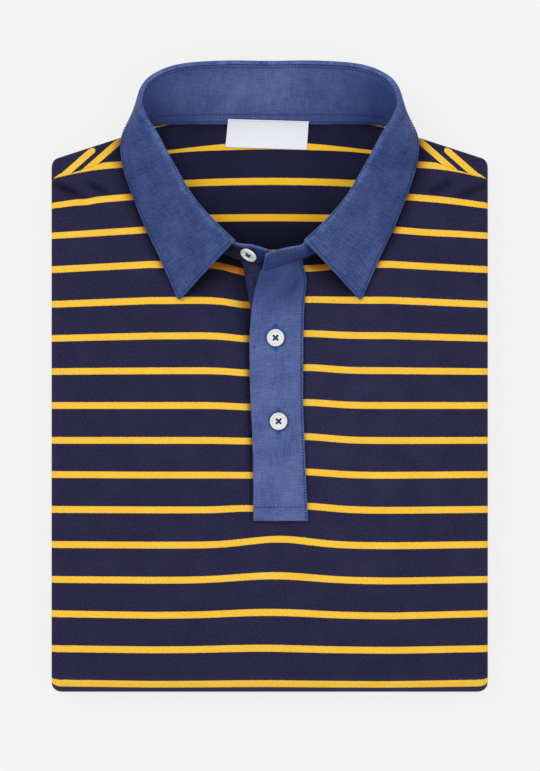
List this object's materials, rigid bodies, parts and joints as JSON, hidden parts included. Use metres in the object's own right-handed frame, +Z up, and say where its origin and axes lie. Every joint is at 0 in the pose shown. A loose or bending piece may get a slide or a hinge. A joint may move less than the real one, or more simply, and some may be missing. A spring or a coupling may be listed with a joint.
{
  "type": "folded long-sleeve polo shirt",
  "caption": "Long-sleeve polo shirt folded to a flat rectangle, with its contrast collar standing round the open neck over a buttoned placket.",
  "frame": {"origin": "on the surface that the shirt lies on, under the middle of the folded shirt", "axes": "+X to the wearer's left, which is the picture's right; +Y from the lower fold to the collar; +Z up from the surface, out of the shirt's front"},
  "size_m": [0.2912, 0.4204, 0.0502],
  "materials": {
    "striped_jersey": "matt cotton jersey, navy with narrow yellow stripes",
    "chambray": "matt cotton chambray, blue and white yarns",
    "button": "satin white resin",
    "label_tape": "bare white woven tape"
  },
  "bodies": {
    "root": {"front_panel": "striped_jersey", "back_panel": "striped_jersey", "folded_layers": "striped_jersey", "collar_stand": "chambray", "collar_leaf": "chambray", "placket_top": "chambray", "placket_under": "chambray", "button_neck": "button", "button_upper": "button", "button_lower": "button", "neck_label": "label_tape"}
  },
  "joints": []
}
